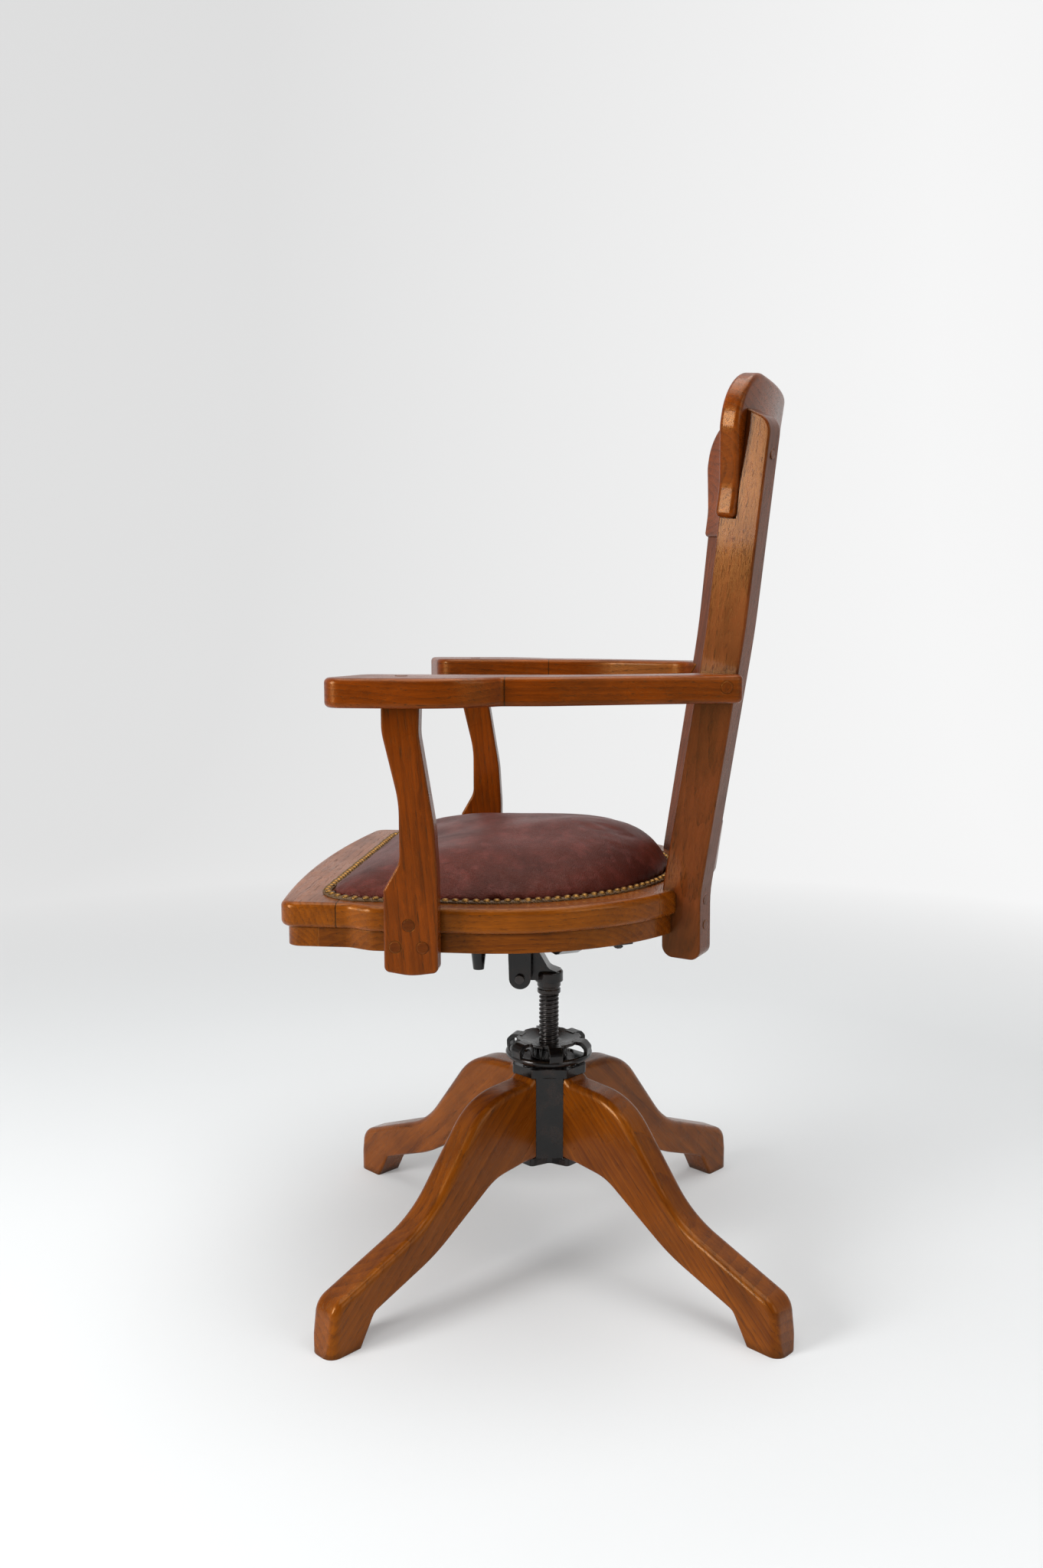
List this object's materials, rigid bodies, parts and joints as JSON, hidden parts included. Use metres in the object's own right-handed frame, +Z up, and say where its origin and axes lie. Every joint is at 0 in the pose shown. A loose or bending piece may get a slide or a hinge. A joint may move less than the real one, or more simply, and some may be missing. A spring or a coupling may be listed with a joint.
{
  "type": "swivel desk armchair",
  "caption": "Oak desk armchair on a cast-iron screw: the seat swivels, tilts back on a spring and rises as a handwheel turns, over S-curved legs.",
  "frame": {"origin": "on the floor under the height screw's axis", "axes": "+Z up along the screw; the sitter faces -Y; +X is to the sitter's left"},
  "size_m": [0.6066, 0.5432, 0.9841],
  "materials": {
    "oak": "varnished",
    "oak_plug": "varnished",
    "pine": "raw",
    "iron": "worn black",
    "steel": "darkened",
    "brass": "aged",
    "leather": "satin"
  },
  "bodies": {
    "base": {"hub_bottom_plate": "iron", "hub_bottom_screws": "steel", "hub_bush": "brass", "hub_casting": "iron", "hub_top_screws": "steel", "leg_1": "oak", "leg_2": "oak", "leg_3": "oak", "leg_4": "oak"},
    "turning": {"thrust_washer": "steel"},
    "wheel": {"handwheel": "iron"},
    "spindle": {"head_cross_pin": "steel", "height_screw": "steel", "pivot_pin": "steel", "spring_washer": "steel", "tension_bolt": "steel", "tilt_head": "iron", "tilt_spring": "steel"},
    "knob": {"tension_knob": "iron"},
    "seat": {"arm_left": "oak", "arm_plugs": "oak_plug", "arm_right": "oak", "arm_screws": "steel", "arm_support_left": "oak", "arm_support_right": "oak", "back_post_left": "oak", "back_post_right": "oak", "bracket_screws": "steel", "crest_rail": "oak", "lower_back_rail": "oak", "post_plugs": "oak_plug", "post_screws": "steel", "seat_board": "pine", "seat_front_apron": "oak", "seat_front_rail": "oak", "seat_left_apron": "oak", "seat_left_rail": "oak", "seat_pad": "leather", "seat_rear_apron": "oak", "seat_rear_rail": "oak", "seat_right_apron": "oak", "seat_right_rail": "oak", "seat_trim": "brass", "slat_1": "oak", "slat_2": "oak", "slat_3": "oak", "slat_4": "oak", "slat_5": "oak", "support_plugs": "oak_plug", "support_screws": "steel", "tilt_bracket": "iron"}
  },
  "joints": [
    {"name": "swivel", "type": "hinge", "parent": "base", "child": "turning", "pos_m": [0, 0, 0.232], "axis": [0, 0, 1], "continuous": true},
    {"name": "wheel_turn", "type": "hinge", "parent": "turning", "child": "wheel", "pos_m": [0, 0, 0.235], "axis": [0, 0, 1], "range_deg": [-3245, 3245]},
    {"name": "height", "type": "slide", "parent": "turning", "child": "spindle", "axis": [0, 0, 1], "range_m": [-0.045, 0.045]},
    {"name": "knob_turn", "type": "hinge", "parent": "spindle", "child": "knob", "pos_m": [0, -0.083, 0.338], "axis": [0, 0, 1], "range_deg": [-360, 360]},
    {"name": "tilt", "type": "hinge", "parent": "spindle", "child": "seat", "pos_m": [0, -0.031, 0.336], "axis": [-1, 0, 0], "range_deg": [0, 14], "stiffness_Nm_per_rad": 150, "springref_deg": -8.59, "deforming": ["tilt_spring"]}
  ],
  "couplings": [
    {"joint": "wheel_turn", "follows": "height", "rad_per_m": -1256.6}
  ]
}
